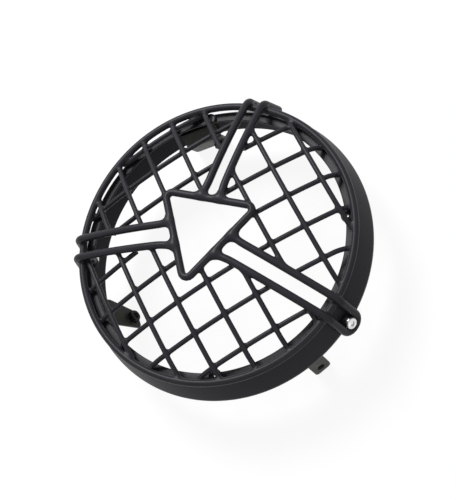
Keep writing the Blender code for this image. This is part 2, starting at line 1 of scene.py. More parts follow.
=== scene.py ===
"""Looks of the headlight grille: black powder coat over welded rods and sheet, and plated screws.

Every rod is drawn again with smooth weld fillets where it meets another one, and the band,
eyelets, lugs and brackets get rounded edges. Lengths are in metres. Most places are measured
from the ring axis: the middle of the rim rod, with +Z out of the front of the grille.
"""

import math

import bmesh
import bpy
import numpy as np
from mathutils import Matrix, Vector


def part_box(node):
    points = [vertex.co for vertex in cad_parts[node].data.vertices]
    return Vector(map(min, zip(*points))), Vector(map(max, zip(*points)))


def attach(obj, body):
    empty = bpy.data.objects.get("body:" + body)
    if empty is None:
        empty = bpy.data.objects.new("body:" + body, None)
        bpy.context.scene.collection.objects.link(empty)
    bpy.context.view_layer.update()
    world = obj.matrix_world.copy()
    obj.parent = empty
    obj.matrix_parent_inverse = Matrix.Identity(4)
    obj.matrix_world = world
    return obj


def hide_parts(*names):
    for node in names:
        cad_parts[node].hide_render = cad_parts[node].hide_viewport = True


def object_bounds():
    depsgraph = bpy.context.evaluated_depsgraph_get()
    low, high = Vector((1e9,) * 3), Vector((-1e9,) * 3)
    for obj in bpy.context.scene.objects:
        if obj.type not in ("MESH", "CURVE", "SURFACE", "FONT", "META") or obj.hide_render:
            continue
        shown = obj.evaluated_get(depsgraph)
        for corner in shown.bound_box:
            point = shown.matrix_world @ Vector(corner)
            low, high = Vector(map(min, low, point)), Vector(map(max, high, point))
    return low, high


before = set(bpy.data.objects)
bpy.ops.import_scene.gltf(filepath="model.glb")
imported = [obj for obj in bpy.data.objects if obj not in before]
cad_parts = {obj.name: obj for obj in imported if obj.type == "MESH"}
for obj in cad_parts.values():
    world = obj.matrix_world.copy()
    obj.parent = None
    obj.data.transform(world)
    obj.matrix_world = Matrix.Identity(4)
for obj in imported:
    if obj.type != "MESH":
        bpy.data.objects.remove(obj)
CAD_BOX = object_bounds()

MM = 0.001
ROOT = "root"

# Camera, from the middle of the rim rod
CAMERA_OFFSET = Vector((0.300896, -0.149476, 0.607247))
CAMERA_TURN = tuple(math.radians(angle) for angle in (19.6286, 20.2906, 19.1221))
LENS = 74.70
SENSOR_HEIGHT = 36.0

# Rods
RIM_ROD = 5.0 * MM
WIRE = 3.4 * MM
ARM_ROD = 5.2 * MM
FRONT_PITCH = 24.0 * MM
FRONT_SHIFT = 11.2 * MM             # one front wire from the axis
BACK_PITCH = 24.15 * MM
BACK_SHIFT = -7.4 * MM              # one back wire from the axis
SET_DOWN = 1.2 * MM                 # how far crossing wires sink into each other in the weld
CROWN = 17.2 * MM                   # height of the dome between the two sets of wires
DOME_DROP = 13.98 * MM              # fall of the dome at DOME_RADIUS
DOME_RADIUS = 90.0 * MM
DOME_TILT = Vector((0.019, 0.012))  # the dome leans a little
TUCK_WIDTH = 9.0 * MM
RIM_CLEAR = 8.0 * MM                # least distance of a whole wire from the rim rod
SHORTEST_WIRE = 7.0 * MM
FRONT_SET_IN = 0.8 * MM             # of the wire ends from the middle line of the rim rod
BACK_SET_IN = 0.9 * MM
WIRE_SET_BACK = 1.0 * MM            # of cut wires from the middle line of a leg or triangle side
TRIANGLE_HEIGHT = 19.4 * MM
TRIANGLE_CORNERS = ((-36.1, 20.8), (32.5, 22.9), (-0.5, -37.1))     # millimetres
TRIANGLE_BEND = 4.0 * MM

# Arms
ARM_CROWN = 20.0 * MM               # height of the legs, carried on to the axis
ARM_AT_RIM = 4.7 * MM
ARM_BEND = 9.0 * MM
ARM_TILT = math.radians(16.0)
LEG_FLARE = 1.8 * MM                # each leg spreads by this much where it meets the triangle
LEG_FLARE_LENGTH = 14.0 * MM
LEG_SET_BACK = 3.2 * MM             # of the legs from the middle line of the triangle side
ARM_SINK = 1.4 * MM                 # how far the legs sink into the rim rod in the weld
LUG_SPREAD = 13.5 * MM
# Direction, spread at the triangle and at the rim, sideways place at the triangle and at the rim,
# the triangle side that the arm meets, and the depth of its screw
ARMS = (
    ("top", 91.0, (11.4 * MM, 11.4 * MM), (1.6 * MM, -1.3 * MM), (0, 1), 20.0 * MM),
    ("left", 196.3, (14.8 * MM, 13.5 * MM), (0.6 * MM, 0.4 * MM), (2, 0), 18.5 * MM),
    ("right", -15.6, (13.7 * MM, 13.3 * MM), (-1.6 * MM, -0.9 * MM), (1, 2), 17.8 * MM),
)

# Sheet band
SHEET = 1.5 * MM
SHOULDER_DEPTH = 4.8 * MM
# Radius and height of the outer skin at the flange's edge, the shoulder, the ridge and the back
BAND_CORNERS = ((90.0 * MM, -SHOULDER_DEPTH), (96.3 * MM, -SHOULDER_DEPTH),
                (104.9 * MM, -22.3 * MM), (99.1 * MM, -37.3 * MM))
SHOULDER_BEND = 1.6 * MM
SHOULDER_INNER_BEND = 0.4 * MM
EDGE_BEND = 0.35 * SHEET
BAND_STRETCH = 0.0088               # the flange is a little out of round
BAND_STRETCH_TURN = math.radians(38.0)
FLANGE_ASIDE = Vector((-0.43, -0.34, 0.0)) * MM
BACK_ASIDE = Vector((-0.2, -0.2, 0.0)) * MM     # of the ridge and the back edge
RIDGE_BEND = 4.0 * MM
DRAIN_LENGTH = 9.0 * MM
DRAIN_WIDTH = 2.2 * MM
DRAIN_DEPTH = 25.5 * MM
DRAIN_ANGLE = math.radians(-91.0)
DRAIN_REACH = (94.0 * MM, 108.0 * MM)   # radii between which the slot is cut

# Eyelets on the flange
EYELET = 8.4 * MM
EYELET_HOLE = 2.5 * MM
EYELET_HEIGHT = 2.2 * MM
EYELET_RADIUS = 91.6 * MM
EYELET_BEND = 0.7 * MM
EYELET_SINK = 0.05 * MM             # into the flange
EYELETS = (("right", 22.7), ("top", 111.5), ("left", 202.0), ("bottom", -70.6))

# Screws, spacers and nuts
SCREW = 5.0 * MM
SCREW_CHAMFER = 0.6 * MM
SCREW_PAST_NUT = 1.0 * MM
THREAD = 4.2 * MM                   # across the crests in a weld nut
BORE_CLEAR = 0.1 * MM               # around a screw
HEAD = 8.3 * MM
HEAD_HEIGHT = 2.9 * MM
HEAD_SKIRT = 0.9 * MM               # straight part of the head
HEAD_FLAT = 0.52                    # share of its radius that its dome leaves flat
HEAD_ARC = math.radians(62.0)
HEAD_LIFT = 0.1 * MM                # of the head over the end of its spacer
HEX_KEY = 3.2 * MM
HEX_DEPTH = 1.7 * MM
SPACER = 8.1 * MM
SPACER_SHORT = 1.2 * MM             # of the spacer's foot from the nut
NUT = 8.0 * MM                      # across the flats
NUT_HEIGHT = 4.0 * MM
NUT_CORNER = 0.5 * MM
NUT_CHAMFER = 0.4 * MM

# Rear brackets
STRIP = 2.0 * MM
STRIP_WIDTH = 12.6 * MM
STRIP_ROOT_DEPTH = 26.0 * MM
STRIP_CORNER = 3.0 * MM
STRIP_HOLE = 5.5 * MM
STRIP_HOLE_FROM_END = 6.6 * MM
STRIP_BEND_DEPTH = 0.5 * MM         # of the bend behind the back edge of the band
STRIP_EDGE = 0.3 * MM
# Direction, radius of the end, widths at the root and the end, and sideways places of the end
# and of the hole in it
BRACKETS = (
    ("right", -35.0, 98.6 * MM, STRIP_WIDTH, STRIP_WIDTH, 0.0, 0.0),
    ("upper", 122.0, 102.5 * MM, 27.0 * MM, 27.0 * MM, 0.0, -6.9 * MM),
    ("left", -142.0, 87.0 * MM, 20.0 * MM, STRIP_WIDTH, 4.6 * MM, 0.0),
)

# Mesh detail
RING_STEP = 0.45 * MM               # between rings of a rod near a weld
COARSE_RINGS = 4                    # every so many rings are kept away from welds
FILLET = 2.1 * MM                   # of the welds between wires and rods
ARM_FILLET = 5.0 * MM               # of the welds between arms and triangle
LATHE_STEPS = 256
WIRE_SIDES = 20
RIM_SIDES = 24
ARM_SIDES = 26
RUN_STEP = 0.1 * MM                 # between the points of a wire that are tested for openings
ROD_END_BEND = 0.35 * MM
LEG_POINTS = 80
LOOP_STEPS = 24
LIFT_STEPS = 12

# Colours, and light: name, place, size in metres and power in watts of each lamp
BLACK_COAT = (0.021, 0.0205, 0.026)
# Coat of the brackets: a lighter copy of the black coat, which paints in the light that their faces
# catch
BRACKET_COAT = (0.085, 0.085, 0.08)
COAT_SHADES = (0.75, 1.3)           # least and greatest share of a coat's colour
ZINC_PLATE = (0.80, 0.80, 0.79)
ZINC_DULL = 0.78                    # share of its colour where the plate is dullest
LAMPS = (("key", (-0.74, 0.59, 1.29), 0.6, 24.0), ("fill", (1.0, -0.8, 0.5), 0.8, 2.5))
AMBIENT = 0.25                      # strength of the world on the object
FLOOR_SIZE = 6.0
FLOOR_DROP = 0.1 * MM
FLOOR_GLOW = 0.9                    # of the floor as the camera sees it
FLOOR_SHADOW = 0.13                 # colour that shows lamplight and shadow on it
FLOOR_BOUNCE = 0.3                  # colour that lights the object from below

low, high = (Vector(corner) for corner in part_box("rim_rod"))
AXIS = (low + high) / 2
RIM_RADIUS = (high.x - low.x) / 2 - RIM_ROD / 2
RIM_HEIGHT = AXIS.z
FOOT = RIM_RADIUS + ((RIM_ROD + ARM_ROD) / 2 - ARM_SINK) / math.cos(ARM_TILT)


def add_piece(name, mesh, material, nodes=(), transform=Matrix.Identity(4)):
    """A finished piece: its mesh is moved from the ring axis to its place in the frame."""
    mesh.transform(Matrix.Translation(AXIS) @ transform)
    piece = bpy.data.objects.new(name, mesh)
    bpy.context.collection.objects.link(piece)
    mesh.materials.append(material)
    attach(piece, ROOT)
    if nodes:
        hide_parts(*nodes)
    return piece


def as_mesh(name, verts, faces, sharp=45.0):
    mesh = bpy.data.meshes.new(name)
    mesh.from_pydata([tuple(map(float, vert)) for vert in verts], [], faces)
    mesh.validate()
    bm = bmesh.new()
    bm.from_mesh(mesh)
    bmesh.ops.recalc_face_normals(bm, faces=bm.faces[:])
    bm.to_mesh(mesh)
    bm.free()
    mesh.shade_smooth()
    mesh.set_sharp_from_angle(angle=math.radians(sharp))
    return mesh


class Rod:
    """A round rod along closely spaced points."""

    def __init__(self, name, points, diameter, cyclic, sides):
        self.name = name
        self.points = np.array(points, dtype=float)
        self.radius = diameter / 2
        self.cyclic = cyclic
        self.sides = sides


def resampled(points, step, cyclic=False):
    """Points at an even spacing along a line of points."""
    line = np.array(points, dtype=float)
    if cyclic:
        line = np.vstack([line, line[:1]])
    lengths = np.concatenate([[0.0], np.cumsum(np.linalg.norm(np.diff(line, axis=0), axis=1))])
    count = max(2, int(round(lengths[-1] / step)))
    marks = np.linspace(0.0, lengths[-1], count + 1)
    even = np.stack([np.interp(marks, lengths, line[:, axis]) for axis in range(3)], axis=1)
    return even[:-1] if cyclic else even


def arc_corner(before, corner, after, bend, steps=10):
    """Points of an arc that rounds off a corner."""
    before, corner, after = (Vector(point) for point in (before, corner, after))
    back = (before - corner).normalized()
    ahead = (after - corner).normalized()
    half = back.angle(ahead) / 2
    centre = corner + (back + ahead).normalized() * (bend / math.sin(half))
    spoke = corner + back * (bend / math.tan(half)) - centre
    turn = math.pi - 2 * half
    points = []
    for step in range(steps + 1):
        angle = turn * step / steps
        points.append(centre + spoke * math.cos(angle) - back * bend * math.sin(angle))
    return points


def dome(x, y):
    """Height of the middle of the mesh."""
    radius = np.minimum(np.hypot(x, y), RIM_RADIUS - RIM_ROD / 2)
    return CROWN + DOME_TILT.x * x + DOME_TILT.y * y - DOME_DROP * (radius / DOME_RADIUS) ** 2


def wire_height(x, y, level):
    """Height of a wire: the level says which side of the dome it lies on, 1 in front, -1 behind."""
    end = RIM_RADIUS - RIM_ROD / 2
    apart = (WIRE - SET_DOWN) / 2
    seat = -(RIM_ROD + WIRE) / 2 + SET_DOWN
    radius = np.hypot(x, y)
    tuck = np.clip((radius - end + TUCK_WIDTH) / TUCK_WIDTH, 0.0, 1.0)
    rim_share = end / np.maximum(radius, 1e-9)
    drop = dome(x * rim_share, y * rim_share) - apart - seat
    return dome(x, y) + level * apart - drop * tuck ** 2


def arm_height(radius):
    """Height of the middle line of a leg."""
    return ARM_CROWN - (ARM_CROWN - ARM_AT_RIM) * (radius / RIM_RADIUS) ** 2


def unit(angle):
    return Vector((math.cos(angle), math.sin(angle)))


def triangle_side(side):
    """Outward direction of a triangle side, and its distance from the axis."""
    start, end = (Vector(TRIANGLE_CORNERS[index]) * MM for index in side)
    along = (end - start).normalized()
    normal = Vector((-along.y, along.x))
    if normal.dot(start) < 0:
        normal = -normal
    return normal, normal.dot(start)


def leg_place(radius, spread, aside, side):
    """Sideways place of an arm's middle, and half the distance between its legs."""
    begin = triangle_side(side)[1]
    share = min(1.0, max(0.0, (radius - begin) / (RIM_RADIUS - begin)))
    fade = min(1.0, max(0.0, (radius - begin) / LEG_FLARE_LENGTH))
    half = (spread[0] + (spread[1] - spread[0]) * share) / 2 + LEG_FLARE * (1 - fade) ** 2
    return aside[0] + (aside[1] - aside[0]) * share, half


def bend_centres():
    """Middles of the three bends of the triangle."""
    corners = [Vector(corner) * MM for corner in TRIANGLE_CORNERS]
    centres = []
    for index, corner in enumerate(corners):
        back = (corners[index - 1] - corner).normalized()
        ahead = (corners[(index + 1) % 3] - corner).normalized()
        inwards = (back + ahead).normalized()
        centres.append(corner + inwards * TRIANGLE_BEND / math.sin(back.angle(ahead) / 2))
    return centres


def in_triangle(spot, centres):
    """Whether a point lies inside the rounded triangle, or just outside its middle line."""
    inside = True
    for start, end in zip(centres, centres[1:] + centres[:1]):
        along = (end - start).normalized()
        run = min(max((spot - start).dot(along), 0.0), (end - start).length)
        if (spot - start - along * run).length < TRIANGLE_BEND + WIRE_SET_BACK:
            return True
        if along.cross(spot - start) > 0:
            inside = False
    return inside


def is_open(spot, centres):
    """Whether a point lies inside the triangle or between the legs of an arm, without wires."""
    if in_triangle(spot, centres):
        return True
    for _, degrees, spread, aside, side, _ in ARMS:
        distance = triangle_side(side)[1]
        out = unit(math.radians(degrees))
        radius = spot.dot(out)
        middle, half = leg_place(radius, spread, aside, side)
        beside = abs(spot.dot(Vector((-out.y, out.x))) - middle)
        if radius > distance and beside < half + WIRE_SET_BACK:
            return True
    return False


def wire_runs(offset, across, along, reach):
    """Stretches of a wire, by distance along it, that are left outside the triangle and arms."""
    count = int(2 * reach / RUN_STEP)
    centres = bend_centres()
    runs = []
    begin = None
    for index in range(count + 1):
        run = -reach + 2 * reach * index / count
        free = not is_open(across * offset + along * run, centres)
        if free and begin is None:
            begin = run
        if begin is not None and (index == count or not free):
            if run - begin > SHORTEST_WIRE:
                runs.append((begin, run))
            begin = None
    return runs


def wire_rods():
    """Each stretch of each wire, from the middle line of one rod to that of the next."""
    rods = []
    half = math.sqrt(0.5)
    up_right, down_right = Vector((half, half)), Vector((half, -half))
    sets = (
        ("front_wire", 1, FRONT_PITCH, FRONT_SHIFT, up_right, down_right, RIM_RADIUS - FRONT_SET_IN),
        ("back_wire", -1, BACK_PITCH, BACK_SHIFT, -down_right, up_right, RIM_RADIUS - BACK_SET_IN),
    )
    for name, level, pitch, shift, across, along, end in sets:
        limit = RIM_RADIUS - RIM_CLEAR
        first = math.ceil((-limit - shift) / pitch)
        last = math.floor((limit - shift) / pitch)
        for index in range(first, last + 1):
            offset = shift + pitch * index
            reach = math.sqrt(end ** 2 - (abs(offset) + WIRE / 2) ** 2)
            for piece, (begin, stop) in enumerate(wire_runs(offset, across, along, reach)):
                runs = np.linspace(begin, stop, 200)
                x = across.x * offset + along.x * runs
                y = across.y * offset + along.y * runs
                line = np.column_stack([x, y, wire_height(x, y, level)])
                ending = "_" + "abcd"[piece] if piece else ""
                rods.append(Rod(f"{name}_{index - first + 1}{ending}", resampled(line, RING_STEP),
                                WIRE, False, WIRE_SIDES))
    return rods


def rim_rod():
    angles = np.linspace(0.0, 2 * math.pi, 721)[:-1]
    line = np.column_stack([RIM_RADIUS * np.cos(angles), RIM_RADIUS * np.sin(angles), 0 * angles])
    return Rod("rim_rod", resampled(line, 1.4 * RING_STEP, True), RIM_ROD, True, RIM_SIDES)


def triangle_rod():
    corners = [Vector((x * MM, y * MM, TRIANGLE_HEIGHT)) for x, y in TRIANGLE_CORNERS]
    line = []
    for index, corner in enumerate(corners):
        line += arc_corner(corners[index - 1], corner, corners[(index + 1) % 3], TRIANGLE_BEND)
    return Rod("triangle_frame", resampled(line, RING_STEP, True), ARM_ROD, True, ARM_SIDES)


def arm_rod(name, degrees, spread, aside, side, depth):
    """A hairpin: out along one leg, round the screw and back along the other."""
    turn = math.radians(degrees)
    out = Vector((math.cos(turn), math.sin(turn), 0.0))
    across = Vector((-out.y, out.x, 0.0))
    normal, distance = triangle_side(side)
    normal = normal.to_3d()
    loop_half = LUG_SPREAD / 2
    up = Vector((0.0, 0.0, 1.0))

    def leg(way):
        def spot(radius):
            middle, half = leg_place(radius, spread, aside, side)
            return out * radius + across * (middle + way * half) + up * arm_height(radius)

        begin = distance
        for _ in range(6):
            begin -= (normal.dot(spot(begin)) - distance - LEG_SET_BACK) / normal.dot(out)
        corner = FOOT
        for _ in range(8):
            corner = FOOT - arm_height(corner) * math.tan(ARM_TILT)
        straight = np.linspace(begin, corner - 0.75 * ARM_BEND, LEG_POINTS)
        line = [spot(radius) for radius in straight]
        end = out * lug_radius(depth) + across * (aside[1] + way * loop_half) - up * depth
        return line + arc_corner(line[-1], spot(corner), end, ARM_BEND)

    down = out * math.sin(ARM_TILT) - up * math.cos(ARM_TILT)
    middle = out * lug_radius(depth) + across * aside[1] - up * depth
    loop = []
    for step in range(LOOP_STEPS + 1):
        angle = math.pi * step / LOOP_STEPS
        loop.append(middle + across * (loop_half * math.cos(angle))
                    + down * (loop_half * math.sin(angle)))
    line = leg(1) + loop + leg(-1)[::-1]
    return Rod(f"{name}_arm", resampled(line, RING_STEP), ARM_ROD, False, ARM_SIDES)


def segment_distance(spots, line, cyclic):
    """Shortest distance from each spot to a line of points."""
    start = line if cyclic else line[:-1]
    run = (np.roll(line, -1, axis=0) if cyclic else line[1:]) - start
    offset = spots[:, None, :] - start[None, :, :]
    share = np.clip((offset * run).sum(axis=2) / (run * run).sum(axis=1), 0.0, 1.0)
    return np.sqrt(((offset - share[..., None] * run) ** 2).sum(axis=2).min(axis=1))


def weld_size(rod, other):
    """Size of the fillet between two rods."""
    thick = ("arm", "triangle")
    both = all(any(word in each.name for word in thick) for each in (rod, other))
    return ARM_FILLET if both else FILLET


def fillet_height(centres, normals, radius, other, weld):
    """How far the surface of a rod rises towards the smooth join with another rod."""
    lifts = np.linspace(0.0, 0.9 * weld, LIFT_STEPS)
    levels = []
    for lift in lifts:
        apart = segment_distance(centres + normals * (radius + lift), other.points[::2], other.cyclic)
        apart = apart - other.radius
        blend = np.clip(weld - np.abs(lift - apart), 0.0, None) / weld
        levels.append(np.minimum(lift, apart) - blend ** 2 * weld / 4)
    levels = np.array(levels)
    reached = levels >= -1e-7
    first = np.argmax(reached, axis=0)
    found = reached.any(axis=0)
    rows = np.arange(levels.shape[1])
    before = np.maximum(first - 1, 0)
    low_level = levels[before, rows]
    high_level = levels[first, rows]
    span = np.where(high_level - low_level > 1e-12, high_level - low_level, 1.0)
    share = np.where(first > 0, -low_level / span, 0.0)
    solved = lifts[before] + np.clip(share, 0.0, 1.0) * (lifts[1] - lifts[0])
    nearest = lifts[np.argmax(levels, axis=0)]
    return np.where(found, solved, nearest)


def rod_frames(points, cyclic):
    """A side and an up direction square to the rod at each point, without twist."""
    ahead = np.roll(points, -1, axis=0) - np.roll(points, 1, axis=0)
    if not cyclic:
        ahead[0] = points[1] - points[0]
        ahead[-1] = points[-1] - points[-2]
    ahead /= np.linalg.norm(ahead, axis=1)[:, None]
    ups = np.zeros_like(points)
    up = np.array((0.0, 0.0, 1.0))
    for index, direction in enumerate(ahead):
        up = up - direction * up.dot(direction)
        up = up / np.linalg.norm(up)
        ups[index] = up
    return np.cross(ahead, ups), ups, ahead


def rod_mesh(rod, others):
    """A tube whose surface swells into fillets where other rods touch it."""
    sides, ups, ahead = rod_frames(rod.points, rod.cyclic)
    angles = np.linspace(0.0, 2 * math.pi, rod.sides, endpoint=False)
    count = len(rod.points)
    lift = np.zeros((count, rod.sides))
    keep = np.zeros(count, dtype=bool)
    keep[::COARSE_RINGS] = True
    keep[-1] = True
    for other in others:
        weld = weld_size(rod, other)
        reach = rod.radius + other.radius + 1.3 * weld
        near = segment_distance(rod.points, other.points[::4], other.cyclic) < reach
        if not near.any():
            continue
        keep |= near
        rings = np.flatnonzero(near)
        normals = (sides[rings][:, None, :] * np.cos(angles)[None, :, None]
                   + ups[rings][:, None, :] * np.sin(angles)[None, :, None])
        centres = np.repeat(rod.points[rings], rod.sides, axis=0)
        raised = fillet_height(centres, normals.reshape(-1, 3), rod.radius, other, weld)
        lift[rings] = np.maximum(lift[rings], raised.reshape(len(rings), rod.sides))
    rings = np.flatnonzero(keep)
    normals = (sides[rings][:, None, :] * np.cos(angles)[None, :, None]
               + ups[rings][:, None, :] * np.sin(angles)[None, :, None])
    verts = rod.points[rings][:, None, :] + normals * (rod.radius + lift[rings])[..., None]
    loops = list(verts)
    if not rod.cyclic:
        for end, way in ((0, -1), (-1, 1)):
            cap = rod.points[rings[end]] + normals[end] * (rod.radius - ROD_END_BEND)
            cap = cap + ahead[rings[end]] * way * ROD_END_BEND
            if end == 0:
                loops.insert(0, cap)
            else:
                loops.append(cap)
    return skin(f"{rod.name}_skin", loops, rod.cyclic)


def skin(name, loops, closed, sharp=45.0):
    """Faces between rings of equal count: closed end to end, or capped."""
    count = len(loops[0])
    verts = [point for loop in loops for point in loop]
    faces = []
    pairs = list(zip(range(len(loops)), range(1, len(loops))))
    if closed:
        pairs.append((len(loops) - 1, 0))
    for lower, upper in pairs:
        for step in range(count):
            after = (step + 1) % count
            faces.append((lower * count + step, lower * count + after,
                          upper * count + after, upper * count + step))
    if not closed:
        faces.append(tuple(range(count)))
        faces.append(tuple((len(loops) - 1) * count + step for step in range(count)))
    return as_mesh(name, verts, faces, sharp)


def ring(radius, height, flats=False, steps=48):
    """A ring of points, round or six-sided with its radius to the flats."""
    points = []
    for step in range(steps):
        angle = 2 * math.pi * step / steps
        reach = radius
        if flats:
            sixth = math.pi / 3
            reach = radius / math.cos((angle % sixth) - sixth / 2)
        points.append((reach * math.cos(angle), reach * math.sin(angle), height))
    return points


def rounded(corners, bends, steps=8):
    """An outline of radius and height pairs with an arc at each inner corner."""
    flat = [Vector((x, 0.0, z)) for x, z in corners]
    points = [flat[0]]
    for before, corner, after, bend in zip(flat, flat[1:], flat[2:], bends):
        points += arc_corner(before, corner, after, bend, steps)
    points.append(flat[-1])
    return [(point.x, point.z) for point in points]


def lathe(name, outline, steps=LATHE_STEPS, closed=True):
    """A solid turned about Z from an outline of radius and height pairs."""
    loops = []
    for radius, height in outline:
        loops.append([(radius * math.cos(2 * math.pi * step / steps),
                       radius * math.sin(2 * math.pi * step / steps), height)
                      for step in range(steps)])
    return skin(name, loops, closed)


def shifted(corners, distance):
    """The outline moved sideways, to the right of its direction for a plus."""
    lines = []
    for start, end in zip(corners, corners[1:]):
        along = (Vector(end) - Vector(start)).normalized()
        lines.append((Vector(start) + Vector((along.y, -along.x)) * distance, along))
    moved = [lines[0][0]]
    for (start, along), (other, direction) in zip(lines, lines[1:]):
        cross = along.x * direction.y - along.y * direction.x
        gap = other - start
        moved.append(start + along * ((gap.x * direction.y - gap.y * direction.x) / cross))
    moved.append(lines[-1][0] + lines[-1][1] * (Vector(corners[-1]) - Vector(corners[-2])).length)
    return [tuple(point) for point in moved]


def cut(piece, mesh):
    """Takes a closed mesh, placed from the ring axis, away from a piece."""
    mesh.transform(Matrix.Translation(AXIS))
    cutter = bpy.data.objects.new("cutter", mesh)
    bpy.context.collection.objects.link(cutter)
    boolean = piece.modifiers.new("cut", "BOOLEAN")
    boolean.operation = "DIFFERENCE"
    boolean.solver = "EXACT"
    boolean.object = cutter
    apply_modifiers(piece)
    bpy.data.objects.remove(cutter)


def apply_modifiers(piece):
    graph = bpy.context.evaluated_depsgraph_get()
    shaped = bpy.data.meshes.new_from_object(piece.evaluated_get(graph))
    piece.modifiers.clear()
    piece.data = shaped


def node(tree, kind, **inputs):
    """A shader node with the values of its sockets."""
    made = tree.nodes.new(kind)
    for key, value in inputs.items():
        made.inputs[key.replace("_", " ")].default_value = value
    return made


def powder_coat(name, base, roughness, peel):
    """Satin black powder coat: fine orange peel, soft sheen, and a little unevenness."""
    material = bpy.data.materials.new(name)
    material.use_nodes = True
    tree = material.node_tree
    shader = tree.nodes["Principled BSDF"]
    shader.inputs["Metallic"].default_value = 0.0
    shader.inputs["IOR"].default_value = 1.45
    shader.inputs["Specular IOR Level"].default_value = 0.16
    place = tree.nodes.new("ShaderNodeTexCoord")
    cloud = node(tree, "ShaderNodeTexNoise", Scale=55.0, Detail=3.0)
    tree.links.new(place.outputs["Object"], cloud.inputs["Vector"])
    tone = tree.nodes.new("ShaderNodeMapRange")
    tone.inputs["To Min"].default_value, tone.inputs["To Max"].default_value = COAT_SHADES
    tree.links.new(cloud.outputs["Fac"], tone.inputs["Value"])
    colour = tree.nodes.new("ShaderNodeMix")
    colour.data_type = "RGBA"
    colour.blend_type = "MULTIPLY"
    colour.inputs["Factor"].default_value = 1.0
    colour.inputs["A"].default_value = (*base, 1.0)
    tree.links.new(tone.outputs["Result"], colour.inputs["B"])
    tree.links.new(colour.outputs["Result"], shader.inputs["Base Color"])
    gloss = tree.nodes.new("ShaderNodeMapRange")
    gloss.inputs["To Min"].default_value = roughness - 0.05
    gloss.inputs["To Max"].default_value = roughness + 0.06
    tree.links.new(cloud.outputs["Fac"], gloss.inputs["Value"])
    tree.links.new(gloss.outputs["Result"], shader.inputs["Roughness"])
    coarse = node(tree, "ShaderNodeTexNoise", Scale=900.0, Detail=2.0)
    fine = node(tree, "ShaderNodeTexNoise", Scale=3200.0, Detail=2.0)
    tree.links.new(place.outputs["Object"], coarse.inputs["Vector"])
    tree.links.new(place.outputs["Object"], fine.inputs["Vector"])
    both = tree.nodes.new("ShaderNodeMath")
    both.operation = "MULTIPLY_ADD"
    both.inputs[1].default_value = 0.35
    tree.links.new(fine.outputs["Fac"], both.inputs[0])
    tree.links.new(coarse.outputs["Fac"], both.inputs[2])
    bump = node(tree, "ShaderNodeBump", Strength=peel, Distance=0.00012)
    tree.links.new(both.outputs["Value"], bump.inputs["Height"])
    tree.links.new(bump.outputs["Normal"], shader.inputs["Normal"])
    return material


def plated_steel(name, base, roughness):
    """Bright zinc on a turned screw, with a fine random bump and a cloudy passivated film."""
    material = bpy.data.materials.new(name)
    material.use_nodes = True
    tree = material.node_tree
    shader = tree.nodes["Principled BSDF"]
    shader.inputs["Metallic"].default_value = 1.0
    place = tree.nodes.new("ShaderNodeTexCoord")
    cloud = node(tree, "ShaderNodeTexNoise", Scale=420.0, Detail=4.0)
    tree.links.new(place.outputs["Object"], cloud.inputs["Vector"])
    ramp = tree.nodes.new("ShaderNodeValToRGB")
    ramp.color_ramp.elements[0].color = (*(ZINC_DULL * channel for channel in base), 1.0)
    ramp.color_ramp.elements[1].color = (*base, 1.0)
    tree.links.new(cloud.outputs["Fac"], ramp.inputs["Fac"])
    tree.links.new(ramp.outputs["Color"], shader.inputs["Base Color"])
    gloss = tree.nodes.new("ShaderNodeMapRange")
    gloss.inputs["To Min"].default_value = roughness - 0.06
    gloss.inputs["To Max"].default_value = roughness + 0.1
    tree.links.new(cloud.outputs["Fac"], gloss.inputs["Value"])
    tree.links.new(gloss.outputs["Result"], shader.inputs["Roughness"])
    scratch = node(tree, "ShaderNodeTexNoise", Scale=2600.0, Detail=2.0)
    tree.links.new(place.outputs["Object"], scratch.inputs["Vector"])
    bump = node(tree, "ShaderNodeBump", Strength=0.15, Distance=0.00005)
    tree.links.new(scratch.outputs["Fac"], bump.inputs["Height"])
    tree.links.new(bump.outputs["Normal"], shader.inputs["Normal"])
    return material


def add_rods(coat):
    known = set(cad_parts)
    rods = wire_rods() + [rim_rod(), triangle_rod()] + [arm_rod(*arm) for arm in ARMS]
    for rod in rods:
        others = [other for other in rods if other is not rod]
        nodes = (rod.name,) if rod.name in known else ()
        add_piece(f"{rod.name}_welded", rod_mesh(rod, others), coat, nodes)


def stretch_flange(mesh):
    """Draws the flange a little out of round, and lets the rest of the band lie a little aside."""
    turn = Matrix.Rotation(BAND_STRETCH_TURN, 3, "Z")
    stretch = turn @ Matrix.Diagonal((1 + BAND_STRETCH, 1 - BAND_STRETCH, 1.0)) @ turn.inverted()
    ridge = BAND_CORNERS[2][1]
    for vert in mesh.vertices:
        share = min(1.0, max(0.0, (vert.co.z - ridge) / (-SHOULDER_DEPTH - ridge)))
        vert.co = (vert.co + BACK_ASIDE).lerp(stretch @ vert.co + FLANGE_ASIDE, share)


